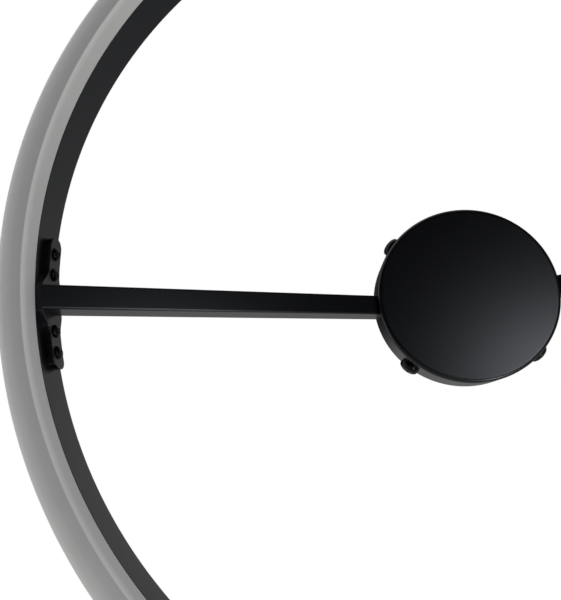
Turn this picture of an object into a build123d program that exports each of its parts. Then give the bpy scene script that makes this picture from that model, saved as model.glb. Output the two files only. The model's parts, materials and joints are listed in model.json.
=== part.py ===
"""Ring wall light: an LED ring held in front of a round wall canopy by two sloping arms.

Millimetres. The wall is the plane Y = 0, the room is on the -Y side, +Z is up, and the
origin is the middle of the wall bracket's back face, on the ring's axis.
"""

import os
from math import asin, atan2, cos, degrees, radians, sin, tan

from build123d import *

os.makedirs("parts", exist_ok=True)

# Ring: an aluminium channel with an opal diffuser snapped into its mouth.
ring_outer_d = 600
ring_width = 19
channel_depth = 25
channel_wall = 1.5
ring_back_y = -105
web_setback = 8
joint_gap = 0.3
splice_height = 6
splice_half_angle = 4
set_screw_d = 5
set_screw_length = 6
set_screw_half_angle = 2
web_hole_d = 7

# Diffuser: a silicone extrusion, crowned, with two legs inside the channel's mouth.
diffuser_height = 13
diffuser_crown = 1.5
diffuser_wall = 1.8
diffuser_inner_round = 3
diffuser_outer_round = 7
leg_depth = 6
leg_wall = 1.4
snap_bead = 0.5
fit_gap = 0.1

# Light source on the channel's web.
strip_width = 10
strip_thickness = 0.3
strip_half_gap = 1
chip_count = 108
chip_size = (0.8, 3.5, 2.8)

# Arms: tubes that slope back from the ring to the canopy's side.
arm_height = 15
arm_depth = 16.5
arm_wall = 1.2
arm_corner = 0.8
arm_y_at_ring = -123.4
arm_y_at_canopy = -11.3
root_plate_thickness = 1.5
root_plate_height = 30

# Brackets: bow-tie plates, rolled to the ring's inner face and screwed to it.
bracket_thickness = 4
bracket_half_length = 41
bracket_waist = 8
bracket_neck = 17
bracket_ear_half_width = 6.8
bracket_ear_round = 6
bracket_neck_round = 8
bracket_front_margin = 0.2
bracket_screw_y = -115
bracket_screw_offsets = (-31.3, -18, 18, 31.3)
nut_bar_thickness = 3
nut_bar_width = 10
nut_bar_half_angle = 7.6
lead_hole_y = -115.5
bush_d = 9
bush_bore = 6.9

# Canopy: a spun steel cup over a wall bracket, held by four screws through its side.
canopy_d = 136
canopy_front_y = -25.5
canopy_rear_y = -0.5
canopy_wall = 1.2
canopy_rim = 3
side_screw_y = -9
side_screw_angles = (135, 225, 315, 45)
plate_d = 112
plate_thickness = 1.5
tab_thickness = 2
tab_width = 16
tab_height = 17
tab_clearance = 0.9
nut_side = 10
nut_height = 5
slot_spacing = 76
slot_width = 5
slot_length = 14
cable_hole_d = 14
earth_screw_z = 42

# Screws: head diameter, head height, shank diameter, shank length.
side_screw = (15, 5, 6, 12)
bracket_screw = (8, 2.1, 4, 10)
earth_screw = (8, 2.6, 4, 6)
terminal_screw = (4, 1.2, 2.5, 5)
thread_clearance = 0.05
head_gap = 0.1
pan_share = 0.45
dome_share = 0.75
clearance_hole = 0.3

# Driver and supply terminals inside the canopy.
driver_size = (84, 15, 34)
driver_centre_z = 18
driver_wall = 1.5
pad_thickness = 1
board_thickness = 1.6
lead_exit_depth = 9
wire_exit_depth = 8
component_height = 9
terminal_size = (30, 14, 17)
terminal_centre_z = -27
terminal_pitch = 9
lead_d = 3.6
wire_d = 2.4
wire_clearance = 0.4
bend_share = 0.45

ring_outer_r = ring_outer_d / 2
ring_inner_r = ring_outer_r - ring_width
ring_middle_r = ring_outer_r - ring_width / 2
ring_front_y = ring_back_y - channel_depth
cavity_width = ring_width - 2 * channel_wall
web_front_y = ring_front_y + web_setback
web_back_y = web_front_y + channel_wall
chamber_back_y = ring_back_y - channel_wall
bracket_face_r = ring_inner_r - bracket_thickness
nut_bar_inner_r = ring_inner_r + channel_wall
canopy_r = canopy_d / 2
canopy_inner_r = canopy_r - canopy_wall
canopy_inner_y = canopy_front_y + canopy_wall
tab_outer_r = canopy_inner_r - tab_clearance
arm_slope = (arm_y_at_canopy - arm_y_at_ring) / (ring_inner_r - canopy_r)
arm_tilt = atan2(arm_slope, 1)
arm_root_r = canopy_inner_r - root_plate_thickness
bush_length = bracket_thickness + channel_wall - fit_gap
driver_front_y = canopy_inner_y + pad_thickness
driver_back_y = driver_front_y + driver_size[1]
terminal_front_y = -plate_thickness - terminal_size[1]

ABOVE = (Align.CENTER, Align.CENTER, Align.MIN)
BELOW = (Align.CENTER, Align.CENTER, Align.MAX)
LEFT = 180
RIGHT = 0


def section_plane(angle):
    """Half-plane through the ring's axis: local X is the radius and local Y is Y."""
    return Plane(
        origin=(0, 0, 0),
        x_dir=(cos(radians(angle)), 0, sin(radians(angle))),
        z_dir=(-sin(radians(angle)), 0, cos(radians(angle))),
    )


def radial_plane(radius, angle, y, inward=False):
    """Plane at a polar place about the Y axis, facing outwards or inwards."""
    out = Vector(cos(radians(angle)), 0, sin(radians(angle)))
    return Plane(
        origin=out * radius + Vector(0, y, 0),
        x_dir=(0, 1, 0),
        z_dir=-out if inward else out,
    )


def back_plane(radius, angle, y):
    """Plane at a polar place about the Y axis, facing the wall."""
    return Plane(
        origin=(radius * cos(radians(angle)), y, radius * sin(radians(angle))),
        x_dir=(1, 0, 0),
        z_dir=(0, 1, 0),
    )


def arm_axis_y(radius):
    """Y of an arm's centre line at a distance from the ring's axis."""
    return arm_y_at_ring + arm_slope * (ring_inner_r - radius)


def arm_plane(side, radius):
    """Plane across an arm, facing down the arm towards the canopy; side is -1 or 1."""
    return Plane(
        origin=(side * radius, arm_axis_y(radius), 0),
        x_dir=(0, 0, 1),
        z_dir=(-side * cos(arm_tilt), sin(arm_tilt), 0),
    )


def bracket_places(middle_angle, radius, inward=False):
    """Planes of the four bracket screws, about the angle of an arm."""
    return [
        radial_plane(
            radius, middle_angle + degrees(asin(offset / ring_inner_r)), bracket_screw_y, inward
        )
        for offset in bracket_screw_offsets
    ]


def cross_screw(head_d, head_h, shank_d, shank_l, round_share=pan_share):
    """Cross-recessed screw standing on XY, shank down; the share sets how domed its head is."""
    with BuildPart() as screw:
        Cylinder(head_d / 2, head_h, align=ABOVE)
        fillet(screw.edges().sort_by(Axis.Z)[-1], head_h * round_share)
        Cylinder(shank_d / 2, shank_l, align=BELOW)
        chamfer(screw.edges().sort_by(Axis.Z)[0], shank_d * 0.12)
        with Locations((0, 0, head_h)):
            for turn in (0, 90):
                Box(
                    head_d * 0.5,
                    head_d * 0.11,
                    head_h * 0.9,
                    rotation=(0, 0, turn),
                    mode=Mode.SUBTRACT,
                )
    return screw.part


def placed(piece, places):
    """Copies of one piece, one at each place."""
    with BuildPart() as group:
        with Locations(*places):
            add(piece)
    return group.part


def bend_radii(points):
    """Radius at each corner of a route: as large as the shorter of its two runs allows."""
    runs = [Vector(*end) - Vector(*start) for start, end in zip(points, points[1:])]
    return [
        bend_share * min(before.length, after.length) / tan(radians(before.get_angle(after)) / 2)
        for before, after in zip(runs, runs[1:])
    ]


def tube(points, diameter):
    """Round lead along straight runs joined by tangent arcs."""
    with BuildPart() as lead:
        with BuildLine() as route:
            FilletPolyline(*points, radius=bend_radii(points))
        with BuildSketch(Plane(origin=route.line @ 0, z_dir=route.line % 0)):
            Circle(diameter / 2)
        sweep()
    return lead.part


def save(part, name):
    part.label = name
    export_step(part, f"parts/{name}.step")


# Places shared by the channel, its splice and the set screws.
set_screw_places = [
    back_plane(ring_middle_r, 90 + turn, ring_back_y)
    for turn in (-set_screw_half_angle, set_screw_half_angle)
]

# Ring channel: one rolled length, U-shaped in front of its web and closed behind it.
with BuildPart() as ring_channel:
    with BuildSketch(Plane.XY):
        with Locations((ring_middle_r, ring_back_y)):
            outline = Rectangle(ring_width, channel_depth, align=(Align.CENTER, Align.MAX))
        fillet(outline.vertices().group_by(Axis.Y)[-1], channel_wall * 0.6)
        with Locations((ring_middle_r, ring_front_y)):
            Rectangle(
                cavity_width,
                web_setback,
                align=(Align.CENTER, Align.MIN),
                mode=Mode.SUBTRACT,
            )
        with Locations((ring_middle_r, web_back_y)):
            Rectangle(
                cavity_width,
                chamber_back_y - web_back_y,
                align=(Align.CENTER, Align.MIN),
                mode=Mode.SUBTRACT,
            )
        with Locations((ring_middle_r, ring_front_y + leg_depth - 1)):
            Rectangle(cavity_width + 2 * (snap_bead + fit_gap), 1.6, mode=Mode.SUBTRACT)
    revolve(axis=Axis.Y)
    for middle in (LEFT, RIGHT):
        with Locations(*bracket_places(middle, ring_inner_r - 1)):
            Cylinder(
                bracket_screw[2] / 2 + clearance_hole,
                channel_wall + 2,
                align=ABOVE,
                mode=Mode.SUBTRACT,
            )
    with Locations(radial_plane(ring_inner_r - 1, LEFT, lead_hole_y)):
        Cylinder(bush_d / 2, channel_wall + 2, align=ABOVE, mode=Mode.SUBTRACT)
    with Locations(back_plane(ring_middle_r, LEFT, web_front_y - 1)):
        Cylinder(web_hole_d / 2, channel_wall + 2, align=ABOVE, mode=Mode.SUBTRACT)
    with Locations(*set_screw_places):
        Cylinder(set_screw_d / 2 + fit_gap, 3 * channel_wall, mode=Mode.SUBTRACT)
    with Locations((0, ring_front_y, ring_middle_r)):
        Box(
            joint_gap,
            channel_depth,
            ring_width + 2,
            align=(Align.CENTER, Align.MIN, Align.CENTER),
            mode=Mode.SUBTRACT,
        )
save(ring_channel.part, "ring_channel")

# Splice bar inside the rear chamber, across the channel's butt joint.
with BuildPart() as ring_splice:
    with BuildSketch(section_plane(90 + splice_half_angle)):
        with Locations((ring_middle_r, chamber_back_y - fit_gap)):
            Rectangle(
                cavity_width - 2 * fit_gap, splice_height, align=(Align.CENTER, Align.MAX)
            )
    revolve(axis=Axis.Y, revolution_arc=2 * splice_half_angle)
    with Locations(*set_screw_places):
        Cylinder(
            set_screw_d / 2 + thread_clearance,
            4 * splice_height,
            mode=Mode.SUBTRACT,
        )
save(ring_splice.part, "ring_splice")

# Set screws: hexagon-socket grub screws that lock the splice from behind.
with BuildPart() as grub_screw:
    Cylinder(set_screw_d / 2, set_screw_length, align=BELOW)
    chamfer(grub_screw.edges().sort_by(Axis.Z)[-1], 0.4)
    with BuildSketch(Plane.XY):
        RegularPolygon(set_screw_d * 0.28, 6)
    extrude(amount=-set_screw_d / 2, mode=Mode.SUBTRACT)
save(placed(grub_screw.part, set_screw_places), "splice_set_screws")

# Diffuser: crowned skin flush with the channel's sides, lips on its mouth, two snap legs.
with BuildPart() as diffuser:
    with BuildSketch(Plane.XY) as section:
        crown_y = ring_front_y - diffuser_height
        corner_y = crown_y + diffuser_crown
        with BuildLine():
            Polyline(
                (ring_inner_r, corner_y),
                (ring_inner_r, ring_front_y),
                (ring_outer_r, ring_front_y),
                (ring_outer_r, corner_y),
            )
            ThreePointArc(
                (ring_outer_r, corner_y), (ring_middle_r, crown_y), (ring_inner_r, corner_y)
            )
        make_face()
        fillet(section.vertices().sort_by_distance((ring_inner_r, corner_y))[0], diffuser_inner_round)
        fillet(section.vertices().sort_by_distance((ring_outer_r, corner_y))[0], diffuser_outer_round)
        offset(amount=-diffuser_wall, mode=Mode.SUBTRACT)
        leg_span = cavity_width - 2 * fit_gap
        with Locations((ring_middle_r, ring_front_y - 2 * diffuser_wall)):
            Rectangle(
                leg_span - 2 * leg_wall,
                3 * diffuser_wall,
                align=(Align.CENTER, Align.MIN),
                mode=Mode.SUBTRACT,
            )
        for side in (-1, 1):
            with Locations((ring_middle_r + side * (leg_span - leg_wall) / 2, ring_front_y)):
                Rectangle(leg_wall, leg_depth, align=(Align.CENTER, Align.MIN))
            with Locations((ring_middle_r + side * leg_span / 2, ring_front_y + leg_depth - 1)):
                Rectangle(2 * snap_bead, 1.2)
    revolve(axis=Axis.Y)
    with Locations((0, ring_front_y - diffuser_height - 1, ring_middle_r)):
        Box(
            joint_gap,
            channel_depth,
            ring_width + 2,
            align=(Align.CENTER, Align.MIN, Align.CENTER),
            mode=Mode.SUBTRACT,
        )
save(diffuser.part, "diffuser")

# LED strip on the web, open where the lead comes up through it.
with BuildPart() as led_strip:
    with BuildSketch(section_plane(LEFT - strip_half_gap)):
        with Locations((ring_middle_r, web_front_y)):
            Rectangle(strip_width, strip_thickness, align=(Align.CENTER, Align.MAX))
    revolve(axis=Axis.Y, revolution_arc=360 - 2 * strip_half_gap)
save(led_strip.part, "led_strip")

# LED packages along the strip.
with BuildPart() as chip:
    Box(*chip_size, align=(Align.MAX, Align.CENTER, Align.CENTER))
chip_angles = [LEFT + (number + 0.5) * 360 / chip_count for number in range(chip_count)]
strip_front_y = web_front_y - strip_thickness
chip_places = [radial_plane(ring_middle_r, angle, strip_front_y) for angle in chip_angles]
save(placed(chip.part, chip_places), "led_chips")

# Ring brackets: rolled plates, broad under the arm, with an ear each way for two screws.
with BuildPart() as ring_bracket_left:
    with BuildSketch(section_plane(LEFT + 10)):
        with Locations((bracket_face_r, ring_front_y)):
            Rectangle(bracket_thickness, channel_depth, align=(Align.MIN, Align.MIN))
    revolve(axis=Axis.Y, revolution_arc=20)
    with BuildSketch(Plane(origin=(0, 0, 0), x_dir=(0, 0, 1), z_dir=(-1, 0, 0))) as bow_tie:
        waist_y = ring_front_y + bracket_front_margin
        ear_front_y = bracket_screw_y - bracket_ear_half_width
        ear_rear_y = bracket_screw_y + bracket_ear_half_width
        with BuildLine():
            Polyline(
                (0, waist_y),
                (bracket_waist, waist_y),
                (bracket_neck, ear_front_y),
                (bracket_half_length, ear_front_y),
                (bracket_half_length, ear_rear_y),
                (bracket_neck, ear_rear_y),
                (bracket_waist, ring_back_y),
                (0, ring_back_y),
            )
            mirror(about=Plane.YZ)
        make_face()
        ends = bow_tie.vertices().group_by(Axis.X)
        fillet(ends[0] + ends[-1], bracket_ear_round)
        necks = bow_tie.vertices().filter_by(lambda point: abs(abs(point.X) - bracket_neck) < 1)
        fillet(necks, bracket_neck_round)
    extrude(amount=ring_outer_r, mode=Mode.INTERSECT)
    with Locations(*bracket_places(LEFT, bracket_face_r - 1)):
        Cylinder(
            bracket_screw[2] / 2 + clearance_hole,
            bracket_thickness + 2,
            align=ABOVE,
            mode=Mode.SUBTRACT,
        )
    with Locations(radial_plane(bracket_face_r - 1, LEFT, lead_hole_y)):
        Cylinder(bush_d / 2, bracket_thickness + 2, align=ABOVE, mode=Mode.SUBTRACT)
with BuildPart() as ring_bracket_right:
    mirror(ring_bracket_left.part, about=Plane.YZ)
save(ring_bracket_left.part, "ring_bracket_left")
save(ring_bracket_right.part, "ring_bracket_right")

# Nut bars: tapped strips inside the channel that the bracket screws pull against.
with BuildPart() as nut_bar_left:
    with BuildSketch(section_plane(LEFT + nut_bar_half_angle)):
        with Locations((nut_bar_inner_r, bracket_screw_y)):
            Rectangle(nut_bar_thickness, nut_bar_width, align=(Align.MIN, Align.CENTER))
    revolve(axis=Axis.Y, revolution_arc=2 * nut_bar_half_angle)
    with Locations(*bracket_places(LEFT, nut_bar_inner_r - 1)):
        Cylinder(
            bracket_screw[2] / 2 + thread_clearance,
            nut_bar_thickness + 2,
            align=ABOVE,
            mode=Mode.SUBTRACT,
        )
    with Locations(radial_plane(nut_bar_inner_r - 1, LEFT, bracket_screw_y)):
        Cylinder(bush_d / 2 - 0.5, nut_bar_thickness + 2, align=ABOVE, mode=Mode.SUBTRACT)
with BuildPart() as nut_bar_right:
    mirror(nut_bar_left.part, about=Plane.YZ)
save(nut_bar_left.part, "nut_bar_left")
save(nut_bar_right.part, "nut_bar_right")

# Bracket screws, driven outwards from the inside of the ring.
for middle, name in ((LEFT, "left"), (RIGHT, "right")):
    places = bracket_places(middle, bracket_face_r - head_gap, inward=True)
    save(placed(cross_screw(*bracket_screw), places), f"bracket_screws_{name}")

# Bush where the lead passes from the left arm into the ring.
with BuildPart() as lead_bush:
    with Locations(radial_plane(bracket_face_r, LEFT, lead_hole_y)):
        Cylinder(bush_d / 2, bush_length, align=ABOVE)
        Cylinder(bush_bore / 2, bush_length, align=ABOVE, mode=Mode.SUBTRACT)
save(lead_bush.part, "lead_bush")

# Arms: cut to the bracket's face at the ring and flush with the root plate in the canopy.
with BuildPart() as arm_left:
    with BuildSketch(arm_plane(-1, ring_outer_r)):
        RectangleRounded(arm_height, arm_depth, arm_corner)
        Rectangle(arm_height - 2 * arm_wall, arm_depth - 2 * arm_wall, mode=Mode.SUBTRACT)
    extrude(amount=(ring_outer_r - arm_root_r + 20) / cos(arm_tilt))
    with BuildSketch(Plane.XZ):
        Circle(bracket_face_r)
        Circle(arm_root_r, mode=Mode.SUBTRACT)
    extrude(amount=ring_outer_r, both=True, mode=Mode.INTERSECT)
with BuildPart() as arm_right:
    mirror(arm_left.part, about=Plane.YZ)
save(arm_left.part, "arm_left")
save(arm_right.part, "arm_right")

# Canopy shell: a cup with a rounded front rim, windows for the arms, and screw holes.
with BuildPart() as canopy_shell:
    with BuildSketch(Plane.XY) as cup:
        with BuildLine():
            Polyline(
                (0, canopy_front_y),
                (canopy_r, canopy_front_y),
                (canopy_r, canopy_rear_y),
                (canopy_inner_r, canopy_rear_y),
                (canopy_inner_r, canopy_inner_y),
                (0, canopy_inner_y),
                close=True,
            )
        make_face()
        fillet(cup.vertices().sort_by_distance((canopy_r, canopy_front_y))[0], canopy_rim)
        fillet(
            cup.vertices().sort_by_distance((canopy_inner_r, canopy_inner_y))[0],
            canopy_rim - canopy_wall,
        )
    revolve(axis=Axis.Y)
    with Locations(*[radial_plane(canopy_r + 1, angle, side_screw_y) for angle in side_screw_angles]):
        Cylinder(
            side_screw[2] / 2 + clearance_hole,
            canopy_wall + 2,
            align=BELOW,
            mode=Mode.SUBTRACT,
        )
    for side in (-1, 1):
        with BuildSketch(arm_plane(side, canopy_r + arm_depth)):
            RectangleRounded(arm_height, arm_depth, arm_corner)
        extrude(amount=2 * arm_depth, mode=Mode.SUBTRACT)
save(canopy_shell.part, "canopy_shell")

# Root plates: curved stiffeners inside the canopy wall that the arms are welded into.
with BuildPart() as arm_root_plate_left:
    root_half_angle = degrees(asin(root_plate_height / 2 / canopy_inner_r))
    with BuildSketch(section_plane(LEFT + root_half_angle)):
        with Locations((canopy_inner_r, canopy_inner_y + canopy_rim)):
            Rectangle(
                root_plate_thickness,
                canopy_rear_y - 1 - canopy_inner_y - canopy_rim,
                align=(Align.MAX, Align.MIN),
            )
    revolve(axis=Axis.Y, revolution_arc=2 * root_half_angle)
    with BuildSketch(arm_plane(-1, canopy_r + arm_depth)):
        RectangleRounded(arm_height, arm_depth, arm_corner)
    extrude(amount=2 * arm_depth, mode=Mode.SUBTRACT)
with BuildPart() as arm_root_plate_right:
    mirror(arm_root_plate_left.part, about=Plane.YZ)
save(arm_root_plate_left.part, "arm_root_plate_left")
save(arm_root_plate_right.part, "arm_root_plate_right")

# Wall bracket: a pressed disc with slots for the wall screws and four tabs folded forward.
tab_places = [radial_plane(tab_outer_r, angle, 0, inward=True) for angle in side_screw_angles]
tapped_places = [radial_plane(tab_outer_r + 1, angle, side_screw_y, True) for angle in side_screw_angles]
with BuildPart() as wall_bracket:
    with BuildSketch(Plane.XZ):
        Circle(plate_d / 2)
        with PolarLocations(0, len(side_screw_angles), start_angle=side_screw_angles[-1]):
            Rectangle(tab_outer_r, tab_width, align=(Align.MIN, Align.CENTER))
        Circle(cable_hole_d / 2, mode=Mode.SUBTRACT)
        with Locations((-slot_spacing / 2, 0), (slot_spacing / 2, 0)):
            SlotOverall(slot_length, slot_width, mode=Mode.SUBTRACT)
    extrude(amount=plate_thickness)
    with Locations(*tab_places):
        Box(tab_height, tab_width, tab_thickness, align=(Align.MAX, Align.CENTER, Align.MIN))
    with Locations(*tapped_places):
        Cylinder(
            side_screw[2] / 2 + thread_clearance,
            tab_thickness + 2,
            align=ABOVE,
            mode=Mode.SUBTRACT,
        )
    earth_boss_height = earth_screw[3] - plate_thickness
    with Locations(Plane(origin=(0, -plate_thickness, earth_screw_z), x_dir=(1, 0, 0), z_dir=(0, -1, 0))):
        Cylinder(earth_screw[0] / 2, earth_boss_height, align=ABOVE)
        Cylinder(
            earth_screw[2] / 2 + thread_clearance,
            3 * earth_boss_height,
            mode=Mode.SUBTRACT,
        )
save(wall_bracket.part, "wall_bracket")

# Weld nuts behind the tabs.
with BuildPart() as weld_nut:
    Box(nut_side, nut_side, nut_height, align=ABOVE)
    chamfer(weld_nut.edges().filter_by(Axis.Z), 1)
    Cylinder(side_screw[2] / 2 + thread_clearance, 3 * nut_height, mode=Mode.SUBTRACT)
nut_places = [
    radial_plane(tab_outer_r - tab_thickness, angle, side_screw_y, inward=True)
    for angle in side_screw_angles
]
save(placed(weld_nut.part, nut_places), "weld_nuts")

# Canopy screws, one node each because each one backs out on its own.
for number, angle in enumerate(side_screw_angles, start=1):
    place = radial_plane(canopy_r + head_gap, angle, side_screw_y)
    save(placed(cross_screw(*side_screw, dome_share), [place]), f"canopy_screw_{number}")

# Earth screw on the wall bracket's boss.
earth_place = Plane(
    origin=(0, -plate_thickness - earth_boss_height, earth_screw_z),
    x_dir=(1, 0, 0),
    z_dir=(0, -1, 0),
)
save(placed(cross_screw(*earth_screw), [earth_place]), "earth_screw")

# Grommet in the wall bracket's cable hole.
with BuildPart() as supply_grommet:
    with BuildSketch(Plane.XY):
        with Locations((cable_hole_d / 2, 0)):
            Rectangle(3, 3.6, align=(Align.CENTER, Align.MAX))
            Rectangle(1.5, plate_thickness, align=(Align.MIN, Align.MAX), mode=Mode.SUBTRACT)
    revolve(axis=Axis.Y)
save(supply_grommet.part, "supply_grommet")

# Driver: tray stuck to the inside of the canopy's front, lid towards the wall.
driver_length, driver_depth, driver_height = driver_size
lead_exit_y = driver_front_y + lead_exit_depth
wire_exit_y = driver_front_y + wire_exit_depth
wire_exit_zs = (driver_centre_z - 6, driver_centre_z + 2)
with BuildPart() as driver_tray:
    with Locations((0, driver_front_y, driver_centre_z)):
        Box(
            driver_length,
            driver_depth - driver_wall,
            driver_height,
            align=(Align.CENTER, Align.MIN, Align.CENTER),
        )
    fillet(driver_tray.edges().filter_by(Axis.Y), 2)
    with Locations((0, driver_front_y + driver_wall, driver_centre_z)):
        Box(
            driver_length - 2 * driver_wall,
            driver_depth,
            driver_height - 2 * driver_wall,
            align=(Align.CENTER, Align.MIN, Align.CENTER),
            mode=Mode.SUBTRACT,
        )
    with Locations((-driver_length / 2, lead_exit_y, driver_centre_z - 6)):
        Cylinder(lead_d / 2 + wire_clearance, 3 * driver_wall, rotation=(0, 90, 0), mode=Mode.SUBTRACT)
    with Locations(*[(driver_length / 2, wire_exit_y, exit_z) for exit_z in wire_exit_zs]):
        Cylinder(wire_d / 2 + wire_clearance, 3 * driver_wall, rotation=(0, 90, 0), mode=Mode.SUBTRACT)
save(driver_tray.part, "driver_tray")

with BuildPart() as driver_lid:
    with Locations((0, driver_back_y, driver_centre_z)):
        Box(
            driver_length,
            driver_wall,
            driver_height,
            align=(Align.CENTER, Align.MAX, Align.CENTER),
        )
    fillet(driver_lid.edges().filter_by(Axis.Y), 2)
save(driver_lid.part, "driver_lid")

with BuildPart() as driver_pad:
    with Locations((0, canopy_inner_y, driver_centre_z)):
        Box(
            driver_length * 0.8,
            pad_thickness,
            driver_height * 0.7,
            align=(Align.CENTER, Align.MIN, Align.CENTER),
        )
save(driver_pad.part, "driver_pad")

board_front_y = driver_front_y + driver_wall
with BuildPart() as driver_board:
    with Locations((0, board_front_y, driver_centre_z)):
        Box(
            driver_length - 2 * driver_wall - 1,
            board_thickness,
            driver_height - 2 * driver_wall - 1,
            align=(Align.CENTER, Align.MIN, Align.CENTER),
        )
save(driver_board.part, "driver_board")

# Transformer, input capacitor, output capacitor and choke on the driver's board.
with BuildPart() as driver_components:
    component_y = board_front_y + board_thickness
    with Locations((0, component_y, driver_centre_z)):
        Box(17, component_height, 18, align=(Align.CENTER, Align.MIN, Align.CENTER))
    with Locations(
        Plane(origin=(20, component_y, driver_centre_z + 6), x_dir=(1, 0, 0), z_dir=(0, 1, 0)),
        Plane(origin=(-18, component_y, driver_centre_z + 7), x_dir=(1, 0, 0), z_dir=(0, 1, 0)),
        Plane(origin=(-28, component_y, driver_centre_z + 7), x_dir=(1, 0, 0), z_dir=(0, 1, 0)),
    ):
        Cylinder(4, component_height, align=ABOVE)
    with Locations((22, component_y, driver_centre_z - 7)):
        Box(7, 5, 7, align=(Align.CENTER, Align.MIN, Align.CENTER))
save(driver_components.part, "driver_components")

# Terminal block on the wall bracket, three poles, wires in at both long sides.
pole_xs = [(number - 1) * terminal_pitch for number in range(3)]
terminal_wire_y = -plate_thickness - 7.5
with BuildPart() as terminal_block:
    with Locations((0, -plate_thickness, terminal_centre_z)):
        Box(*terminal_size, align=(Align.CENTER, Align.MAX, Align.CENTER))
    fillet(terminal_block.edges().filter_by(Axis.Y), 1)
    with Locations(*[(x, terminal_wire_y, terminal_centre_z) for x in pole_xs]):
        Cylinder(wire_d / 2 + wire_clearance, 2 * terminal_size[2], mode=Mode.SUBTRACT)
    terminal_screw_places = [
        Plane(
            origin=(x, terminal_front_y + 1.5, terminal_centre_z + offset_z),
            x_dir=(1, 0, 0),
            z_dir=(0, -1, 0),
        )
        for x in pole_xs
        for offset_z in (-4.5, 4.5)
    ]
    with Locations(*terminal_screw_places):
        Cylinder(terminal_screw[0] / 2 + fit_gap, 4, align=ABOVE, mode=Mode.SUBTRACT)
        Cylinder(
            terminal_screw[2] / 2 + thread_clearance, 6, align=BELOW, mode=Mode.SUBTRACT
        )
save(terminal_block.part, "terminal_block")
with BuildPart() as slotted_screw:
    Cylinder(terminal_screw[0] / 2, terminal_screw[1], align=ABOVE)
    Cylinder(terminal_screw[2] / 2, terminal_screw[3] - 1.6, align=BELOW)
    with Locations((0, 0, terminal_screw[1])):
        Box(5, 0.7, 1.2, mode=Mode.SUBTRACT)
save(placed(slotted_screw.part, terminal_screw_places), "terminal_screws")

# Supply wires from two poles of the terminal block to the driver's input end.
terminal_top_z = terminal_centre_z + terminal_size[2] / 2
live_route = [
    (pole_xs[1], terminal_wire_y, terminal_top_z - 6),
    (pole_xs[1], terminal_wire_y, -9),
    (28, -10, -8),
    (49, -13, -5),
    (52, wire_exit_y, wire_exit_zs[0]),
    (driver_length / 2 - 1, wire_exit_y, wire_exit_zs[0]),
]
neutral_route = [
    (pole_xs[2], terminal_wire_y, terminal_top_z - 6),
    (pole_xs[2], terminal_wire_y, -14),
    (32, -10, -13),
    (54, -13, -9),
    (56, -15, 8),
    (52, wire_exit_y, 20),
    (driver_length / 2 - 1, wire_exit_y, wire_exit_zs[1]),
]
with BuildPart() as supply_wires:
    add(tube(live_route, wire_d))
    add(tube(neutral_route, wire_d))
save(supply_wires.part, "supply_wires")

# Earth wire from the third pole to the earth screw's boss.
earth_route = [
    (pole_xs[0], terminal_wire_y, terminal_top_z - 6),
    (pole_xs[0], terminal_wire_y, -12),
    (-14, -5, 2),
    (-14, -5, 30),
    (-earth_screw[0] / 2 - 5, -4, earth_screw_z),
    (-earth_screw[0] / 2 - fit_gap, -4, earth_screw_z),
]
save(tube(earth_route, wire_d), "earth_wire")

# Output lead: out of the driver, along the left arm, and up through the web to the strip.
lead_route = [
    (-driver_length / 2 + 1, lead_exit_y, driver_centre_z - 6),
    (-50, lead_exit_y + 2, driver_centre_z - 8),
    (-58, arm_axis_y(58) - 0.5, 2),
    (-70, arm_axis_y(70), 0),
    (-262, arm_axis_y(262), 0),
    (-275, lead_hole_y, 0),
    (-ring_middle_r, lead_hole_y, 0),
    (-ring_middle_r, web_front_y - 2, 0),
]
save(tube(lead_route, lead_d), "output_lead")
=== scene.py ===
import json
import math

import bmesh
import bpy
import numpy as np
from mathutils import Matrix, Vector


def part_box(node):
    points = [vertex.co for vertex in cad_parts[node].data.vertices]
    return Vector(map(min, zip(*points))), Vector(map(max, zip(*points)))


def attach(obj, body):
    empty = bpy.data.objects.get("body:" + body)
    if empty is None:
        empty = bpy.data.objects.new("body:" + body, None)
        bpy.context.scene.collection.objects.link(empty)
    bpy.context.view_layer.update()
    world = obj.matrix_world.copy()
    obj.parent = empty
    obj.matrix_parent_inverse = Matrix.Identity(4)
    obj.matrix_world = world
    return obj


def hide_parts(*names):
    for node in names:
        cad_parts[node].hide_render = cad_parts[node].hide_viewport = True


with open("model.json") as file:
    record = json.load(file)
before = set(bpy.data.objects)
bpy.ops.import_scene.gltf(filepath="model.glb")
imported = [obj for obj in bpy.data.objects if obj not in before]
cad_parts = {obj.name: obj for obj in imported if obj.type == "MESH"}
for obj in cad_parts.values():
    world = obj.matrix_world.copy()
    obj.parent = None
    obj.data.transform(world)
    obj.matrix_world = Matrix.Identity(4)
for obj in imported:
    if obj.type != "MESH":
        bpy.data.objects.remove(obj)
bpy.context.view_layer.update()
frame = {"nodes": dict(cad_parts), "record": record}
nodes = frame["nodes"]
record = frame["record"]
print("frame loaded,", len(nodes), "nodes")

mm = 0.001
usualSharpAngle = 35  # degrees: a sharper fold than this shows as an edge
scene = bpy.context.scene


def linearColour(code):
    # sRGB hex to linear rgba
    value = np.array([int(code[i:i + 2], 16) for i in (1, 3, 5)]) / 255
    value = np.where(value <= 0.04045, value / 12.92, ((value + 0.055) / 1.055) ** 2.4)
    return (*value.tolist(), 1.0)


def addNode(tree, kind, settings=None, values=None, links=None):
    # one node, its own settings, its unlinked socket values and the sockets that feed it
    node = tree.nodes.new(kind)
    for key, value in (settings or {}).items():
        setattr(node, key, value)
    for key, value in (values or {}).items():
        node.inputs[key].default_value = value
    for key, source in (links or {}).items():
        tree.links.new(source, node.inputs[key])
    return node


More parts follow.
